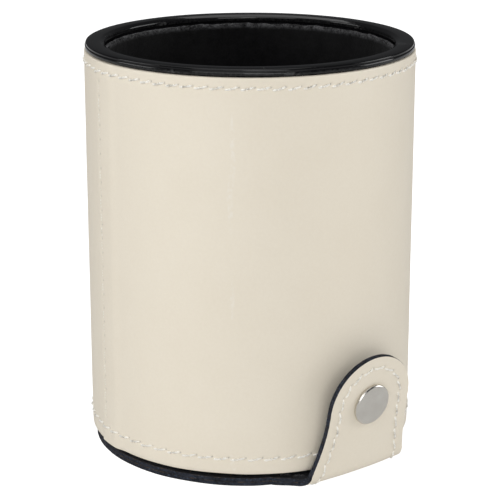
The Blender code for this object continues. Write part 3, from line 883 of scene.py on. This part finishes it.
def flap_half(course):
    """Half the sheet's width at a place along it."""
    if course >= HEAD_CENTRE:
        return math.sqrt(max(0.0, HEAD_RADIUS**2 - (course - HEAD_CENTRE) ** 2))
    if course >= FOLD_LENGTH:
        share = (HEAD_CENTRE - course) / HEAD_CENTRE
        return HEAD_RADIUS + FOOT_FLARE * share * share
    front = FOLD_FRONT + course
    if front <= SHOULDER_FRONT:
        return math.sqrt(max(0.0, FLAP_RADIUS**2 - front * front))
    share = (HEAD_CENTRE - FOLD_LENGTH) / HEAD_CENTRE
    foot = HEAD_RADIUS + FOOT_FLARE * share * share
    fade = smoothstep(SHOULDER_FRONT, FOLD_FRONT + FOLD_LENGTH - 0.6, front)
    return SHOULDER_HALF + (foot - SHOULDER_HALF) * fade**0.8


def courses(step):
    """Places along the sheet for its rows, closer together where its outline is round."""
    places = []
    back = math.acos(-FLAP_BACK / FLAP_RADIUS)
    count = round(FLAP_RADIUS * (back - SHOULDER) / step)
    for index in range(count):
        angle = back - (back - SHOULDER) * index / count
        places.append(FLAP_RADIUS * math.cos(angle) - FOLD_FRONT)
    stages = ((SHOULDER_FRONT - FOLD_FRONT, FOLD_LENGTH, 0.4), (FOLD_LENGTH, HEAD_CENTRE, 0.36))
    for low, high, pitch in stages:
        count = round((high - low) / (pitch * max(1.0, step)))
        places += [low + (high - low) * index / count for index in range(count)]
    count = round(48 / max(1.0, step))
    places += [HEAD_CENTRE + HEAD_RADIUS * math.sin(math.pi / 2 * i / count) for i in range(count + 1)]
    return places


def stitch_loop():
    """The closed line of stitches round the sheet, as (side, course), clockwise from outside."""
    points = []
    inset = STITCH_INSET
    for step in range(181):
        angle = math.radians(180.0 - step)
        radius = HEAD_RADIUS - inset
        points.append((radius * math.cos(angle), HEAD_CENTRE + radius * math.sin(angle)))
    count = 60
    for step in range(1, count):
        course = HEAD_CENTRE - (HEAD_CENTRE + 6.0) * step / count
        points.append((flap_half(course) - inset, course))
    radius = FLAP_RADIUS - inset
    start = math.asin((flap_half(-6.0) - inset) / radius)
    for step in range(241):
        angle = start + (math.tau - 2 * start) * step / 240
        reach = max(radius * math.cos(angle), inset - FLAP_BACK)
        points.append((radius * math.sin(angle), reach - FOLD_FRONT))
    for step in range(count - 1, 0, -1):
        course = HEAD_CENTRE - (HEAD_CENTRE + 6.0) * step / count
        points.append((inset - flap_half(course), course))
    return points


def measured(points):
    """The length along a closed line at each of its points."""
    lengths = [0.0]
    closed = points + points[:1]
    for (s0, c0), (s1, c1) in zip(closed, closed[1:]):
        lengths.append(lengths[-1] + math.hypot(s1 - s0, c1 - c0))
    return lengths


LOOP = stitch_loop()
LOOP_LENGTHS = measured(LOOP)
LOOP_COUNT = round(LOOP_LENGTHS[-1] / 3.5)
LOOP_PITCH = LOOP_LENGTHS[-1] / LOOP_COUNT


def on_loop(length):
    """The (side, course) at a length along the stitch line."""
    length %= LOOP_LENGTHS[-1]
    low, high = 0, len(LOOP)
    while high - low > 1:
        middle = (low + high) // 2
        low, high = (middle, high) if LOOP_LENGTHS[middle] <= length else (low, middle)
    share = (length - LOOP_LENGTHS[low]) / max(1e-9, LOOP_LENGTHS[low + 1] - LOOP_LENGTHS[low])
    (s0, c0), (s1, c1) = LOOP[low], LOOP[(low + 1) % len(LOOP)]
    return s0 + (s1 - s0) * share, c0 + (c1 - c0) * share


def beside_loop(length, shift):
    """A point to the left of the stitch line."""
    (s0, c0), (s1, c1) = on_loop(length - 0.05), on_loop(length + 0.05)
    size = max(1e-9, math.hypot(s1 - s0, c1 - c0))
    return (s0 + s1) / 2 - (c1 - c0) / size * shift, (c0 + c1) / 2 + (s1 - s0) / size * shift


HOLES = [beside_loop(LOOP_PITCH * step, HOLE_RISE) for step in range(LOOP_COUNT)]


def needle_field():
    """Holes sorted into 5 mm squares, so that a point only looks at the ones near it."""
    field = {}
    for side, course in HOLES:
        field.setdefault((int(side // 5), int(course // 5)), []).append((side, course))
    return field


FIELD = needle_field()
LINE_FIELD = {}
for side_, course_ in (on_loop(0.5 * step) for step in range(int(LOOP_LENGTHS[-1] / 0.5))):
    LINE_FIELD.setdefault((int(side_ // 5), int(course_ // 5)), []).append((side_, course_))


def nearest(field, side, course):
    best = 9.0
    column, row = int(side // 5), int(course // 5)
    for i in (-1, 0, 1):
        for j in (-1, 0, 1):
            for s, c in field.get((column + i, row + j), ()):
                best = min(best, math.hypot(side - s, course - c))
    return best


def build_sheet(columns, step, outer, inner, seed, pressed):
    """One ply of the flap and tab, as a bent plate that follows the outline."""
    places = courses(step)
    rows = len(places) - 1
    form = bmesh.new()
    bmesh.ops.create_grid(form, x_segments=columns, y_segments=rows, size=1.0)
    needle = form.verts.layers.float.new("needle")
    depth = form.verts.layers.float.new("ply_depth")
    across = form.verts.layers.float.new("across")
    along = form.verts.layers.float.new("along")
    for vert in form.verts:
        share = vert.co.x
        course = places[round((vert.co.y + 1.0) / 2 * rows)]
        side = share * flap_half(course)
        ragged = smoothstep(0.9, 1.0, abs(share)) * math.copysign(1.0, side)
        side += ragged * (0.07 * wobble(course * 0.9, seed) + 0.06 * wobble(course * 3.1, seed, 2.0))
        vert[across], vert[along] = side, course
    made = bmesh.ops.extrude_face_region(form, geom=form.faces[:], use_keep_orig=True)["geom"]
    for item in made:
        if isinstance(item, bmesh.types.BMVert):
            item[depth] = 1.0
    walls = [edge for edge in form.edges if abs(edge.verts[0][depth] - edge.verts[1][depth]) > 0.5]
    bmesh.ops.subdivide_edges(form, edges=walls, cuts=3)
    for vert in form.verts:
        side, course = vert[across], vert[along]
        level = outer + (inner - outer) * vert[depth]
        pressed_in = 0.0
        if pressed and vert[depth] < 0.01:
            hole = math.exp(-((nearest(FIELD, side, course) / 0.27) ** 2))
            groove = math.exp(-((nearest(LINE_FIELD, side, course) / 0.8) ** 2))
            pressed_in = 0.03 * groove + 0.34 * hole
            pressed_in -= 0.05 * wobble(side * 0.12, course * 0.12, 6.0)
            # Painted shade weight: nearness to a needle hole, where the leather is drawn grey.
            vert[needle] = hole**2 * 0.75
        if 0.1 < vert[depth] < 0.9:
            swell = 0.07 + 0.06 * wobble(course * 2.3, side * 2.3, seed + vert[depth] * 3.0)
            middle = HEAD_CENTRE if course > HEAD_CENTRE else min(course, -FOLD_FRONT)
            away = Vector((side, course - middle))
            away = away.normalized() if away.length > 0.1 else Vector((0.0, 1.0))
            if -8.0 < course <= HEAD_CENTRE:
                away = Vector((math.copysign(1.0, side), 0.0))
            side, course = side + away.x * swell, course + away.y * swell
        vert.co = flap_point(side, course, level - pressed_in / ply_share(course))
    for face in form.faces:
        depths = [vert[depth] for vert in face.verts]
        if max(depths) - min(depths) > 0.1:
            face.material_index = 2
        elif min(depths) > 0.9 or not pressed:
            face.material_index = 1
    bmesh.ops.remove_doubles(form, verts=form.verts, dist=0.0005)
    bmesh.ops.recalc_face_normals(form, faces=form.faces)
    return form


def build_flap():
    finishes = [leatherette, ply, ply_edge]
    leather = build_sheet(84, 1.04, 1.0, 0.04, 1.0, True)
    cover = finished(
        "flap_leather", leather, finishes, ["flap_cover", "tab_cover"]
    )
    lining = build_sheet(60, 1.4, -0.04, -1.0, 7.0, False)
    inner = finished("flap_ply", lining, finishes, ["flap_lining", "tab_lining"])
    return cover, inner


def build_loop_stitches():
    """Stitches of the tab and the flap, on the leather and on the ply behind it."""
    forms = {}
    for name in ("tab", "flap"):
        form = bmesh.new()
        forms[name] = (form, form.verts.layers.float.new("needle"))
    draw = random.Random(9)
    for step in range(LOOP_COUNT):
        begin = LOOP_PITCH * step
        middle = on_loop(begin + LOOP_PITCH / 2)
        form, needle = forms["tab" if middle[1] > FOLD_LENGTH / 2 else "flap"]
        for facing in (1.0, -1.0):

            def place_at(share):
                length = begin + LOOP_PITCH * (0.04 + 0.92 * share)
                here, ahead = on_loop(length), on_loop(length + 0.1)
                point = flap_point(*here, facing)
                forward = (flap_point(*ahead, facing) - point).normalized()
                out = (flap_point(*here, 2.0 * facing) - point).normalized()
                return point, out.cross(forward) * facing, out

            known = len(form.faces)
            add_stitch(form, needle, place_at, draw, rise=0.08, slant=0.3 * facing)
            if facing < 0.0:
                form.faces.ensure_lookup_table()
                for face in form.faces[known:]:
                    face.material_index = 1
    pieces = []
    for name, (form, _) in forms.items():
        pieces.append(
            finished(
                "stitches_" + name, form, [thread, bobbin_thread], ["thread_" + name]
            )
        )
    return pieces


FOLD_START = flap_point(0.0, -1.2, 0.0) * MM
FOLD_END = flap_point(0.0, FOLD_LENGTH + 1.4, 0.0) * MM
cover, inner = build_flap()
for piece in (cover, inner, *build_loop_stitches()):
    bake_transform(piece)


# ---------------------------------------------------------------- tongue

def build_tongue():
    """The strip at the back that the flap swings on, from behind the wrap into the flap."""
    high = node_box("hinge_tongue")[1]
    half = high.x
    thickness = 0.7
    radius = high.y - thickness / 2
    path = [(radius, high.z - step * (high.z - 3.4) / 24) for step in range(25)]
    bend, turns = 1.5, (0.2, 0.5, 0.8, 1.1, 1.4)
    path += [(radius - bend + bend * math.cos(a), 2.6 - bend * math.sin(a)) for a in turns]
    path += [(radius - 2.2, 1.12), (radius - 3.2, 1.14), (radius - 4.6, 1.16)]
    rows = len(path) - 1
    form = bmesh.new()
    bmesh.ops.create_grid(form, x_segments=40, y_segments=rows, size=1.0)
    for vert in form.verts:
        reach, height = path[round((vert.co.y + 1.0) / 2 * rows)]
        angle = math.pi - vert.co.x * half / radius
        height += 0.06 * wobble(vert.co.x * 6.0, height * 0.5)
        vert.co = on_cup(reach, angle, height)
    bmesh.ops.recalc_face_normals(form, faces=form.faces)
    form.normal_update()
    back = sum(1 if face.normal.y > 0.0 else -1 for face in form.faces)
    if back < 0:
        bmesh.ops.reverse_faces(form, faces=form.faces)
    form.normal_update()
    bmesh.ops.solidify(form, geom=form.faces[:], thickness=thickness)
    for vert in form.verts:
        radial = math.hypot(vert.co.x, vert.co.y)
        push = thickness / 2
        vert.co.x *= (radial + push) / radial
        vert.co.y *= (radial + push) / radial
    strip = finished("tongue_strip", form, [ply], ["hinge_tongue"])
    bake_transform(strip)


build_tongue()


# ---------------------------------------------------------------- snap

def snap_matrix():
    """From a profile's own axis to the tab's: out of the leather, at the head's centre."""
    turn = Matrix.Rotation(math.radians(90.0) + TAB_LEAN, 4, "X")
    up = Vector((0.0, -math.sin(TAB_LEAN), math.cos(TAB_LEAN)))
    return Matrix.Translation(TAB_PIVOT + up * SNAP_HEIGHT) @ turn


def build_snap():
    """Cap, spring socket, wall stud and its post."""
    on_tab = snap_matrix()
    seat = TAB_HALF + 0.05
    crown = seat + 1.15
    profile = [(0.0, crown), (1.6, crown - 0.01), (2.9, crown - 0.05), (3.9, crown - 0.12)]
    profile += [(4.25, crown - 0.19)]
    profile += arc((4.58, crown - 0.72), 0.57, 72.0, -70.0, 10)
    profile += [(4.6, seat), (1.6, seat), (1.5, seat - 0.2), (1.5, -TAB_HALF), (0.0, -TAB_HALF)]
    form = turned(profile, 96)
    bmesh.ops.transform(form, matrix=on_tab, verts=form.verts)
    finished("snap_button", form, [nickel], ["snap_cap"], "tab", sharp=50.0)

    top = -TAB_INNER - 0.02
    profile = [(0.0, top), (4.3, top), (4.55, top - 0.15), (4.6, top - 0.35), (4.4, top - 0.6)]
    profile += [(3.9, top - 0.72), (3.75, top - 1.3), (3.5, top - 1.65), (3.1, top - 1.78)]
    profile += [(2.6, top - 1.72), (2.3, top - 1.5), (2.25, top - 1.1), (2.4, top - 0.7)]
    profile += [(2.3, top - 0.5), (0.0, top - 0.5)]
    form = turned(profile, 72)
    wire_profile = [(2.3 + r, top - 1.0 + z) for r, z in arc((0.0, 0.0), 0.2, 0.0, 315.0, 7)]
    spring_ring = turned(wire_profile, 72, True)
    bmesh.ops.transform(form, matrix=on_tab, verts=form.verts)
    join(form, spring_ring, on_tab)
    finished("snap_spring_socket", form, [nickel], ["snap_socket"], "tab")

    facing_front = Matrix.Rotation(math.radians(90.0), 4, "X")
    on_wall = Matrix.Translation((0.0, 0.0, STUD_HEIGHT)) @ facing_front
    base, tip = CUP_RADIUS + 0.05, 41.4
    profile = [(0.0, tip)] + arc((1.35, tip - 0.4), 0.4, 90.0, -40.0, 6)
    profile += [(1.3, base + 0.9), (1.35, base + 0.76), (2.2, base + 0.72), (3.1, base + 0.6)]
    profile += [(3.35, base + 0.42), (3.4, base + 0.2), (3.2, base), (0.0, base)]
    form = turned(profile, 72)
    bmesh.ops.transform(form, matrix=on_wall, verts=form.verts)
    finished("snap_wall_stud", form, [nickel], ["snap_stud"], "cup")

    inside = SHELL_BORE
    profile = [(0.0, CUP_RADIUS - 0.1), (1.5, CUP_RADIUS - 0.1), (1.5, inside)]
    profile += [(2.8, inside - 0.05), (3.0, inside - 0.25), (2.95, inside - 0.55)]
    profile += [(2.6, inside - 0.8), (2.0, inside - 0.92)]
    profile += [(1.1, inside - 0.95), (0.9, inside - 0.8)]
    profile += [(0.0, inside - 0.75)]
    form = turned(profile, 72)
    bmesh.ops.transform(form, matrix=on_wall, verts=form.verts)
    finished("snap_rivet_post", form, [nickel], ["snap_post"], "cup")


def join(form, other, matrix):
    """Adds another form to this one."""
    mesh = bpy.data.meshes.new("joined")
    bmesh.ops.transform(other, matrix=matrix, verts=other.verts)
    other.to_mesh(mesh)
    other.free()
    form.from_mesh(mesh)
    bpy.data.meshes.remove(mesh)


build_snap()


# ---------------------------------------------------------------- carried-over solid

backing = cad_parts["wrap_backing"]
backing.data.materials.clear()
backing.data.materials.append(ply)


# ---------------------------------------------------------------- studio

def build_floor():
    form = bmesh.new()
    bmesh.ops.create_circle(form, cap_ends=True, segments=64, radius=6.0)
    mesh = bpy.data.meshes.new("floor")
    form.to_mesh(mesh)
    form.free()
    floor = bpy.data.objects.new("floor", mesh)
    scene.collection.objects.link(floor)
    floor.location.z = -0.0003
    material, tree, shader = new_material("white_paper")
    fleck = noise_field(tree, object_place(tree), 900.0, 2.0)
    wire(
        tree,
        blend_colour(tree, fleck, (0.34, 0.34, 0.34, 1), (0.38, 0.38, 0.38, 1)),
        shader["Base Color"],
    )
    shader["Roughness"].default_value = 0.9
    shader["Specular IOR Level"].default_value = 0.1
    shader["Emission Color"].default_value = (1.0, 1.0, 1.0, 1.0)
    seen = add_node(tree, "LightPath").outputs["Is Camera Ray"]
    wire(tree, calc(tree, "MULTIPLY_ADD", seen, 0.58, 0.37), shader["Emission Strength"])
    mesh.materials.append(material)


def add_softbox(name, azimuth, elevation, distance, size, power, colour=(1.0, 1.0, 1.0)):
    """A square area light that looks at the cup; azimuth 0 is the front, turning towards +X."""
    light = bpy.data.lights.new(name, "AREA")
    light.shape = "SQUARE"
    light.size = size
    light.energy = power
    light.color = colour
    box = bpy.data.objects.new(name, light)
    azimuth, elevation = math.radians(azimuth), math.radians(elevation)
    away = on_cup(math.cos(elevation), azimuth, math.sin(elevation)) * distance
    aim = Vector((0.0, 0.0, 0.05))
    box.location = aim + away
    box.rotation_euler = (-away).to_track_quat("-Z", "Y").to_euler()
    scene.collection.objects.link(box)


build_floor()
# Softboxes round the cup: azimuth, elevation, distance, size and power
add_softbox("key", -55.0, 32.0, 1.6, 1.3, 10.5)
add_softbox("front", -28.0, 10.0, 1.7, 0.9, 8.0)
add_softbox("side_left", -125.0, 22.0, 1.5, 0.8, 6.5)
add_softbox("side_right", 60.0, 18.0, 1.5, 0.8, 8.0)
add_softbox("back", 150.0, 62.0, 1.6, 0.9, 4.5)
add_softbox("overhead", 0.0, 88.0, 1.6, 1.0, 4.0)

world = bpy.data.worlds.new("studio")
world.use_nodes = True
sky = world.node_tree
seen = add_node(sky, "LightPath").outputs["Is Camera Ray"]
wire(sky, calc(sky, "MULTIPLY_ADD", seen, 0.93, 0.07), sky.nodes["Background"].inputs["Strength"])
sky.nodes["Background"].inputs["Color"].default_value = (0.95, 0.97, 1.0, 1.0)
scene.world = world
scene.view_settings.view_transform = "Standard"

lens = bpy.data.cameras.new("camera")
lens.sensor_width = 36.0
lens.lens = 132.37
lens.clip_start = 0.01
camera = bpy.data.objects.new("camera", lens)
camera.location = (-0.2770, -0.3421, 0.1769)
camera.rotation_euler = (math.pi / 2 - 0.2876, 0.0, math.radians(-39.0))
scene.collection.objects.link(camera)
scene.camera = camera
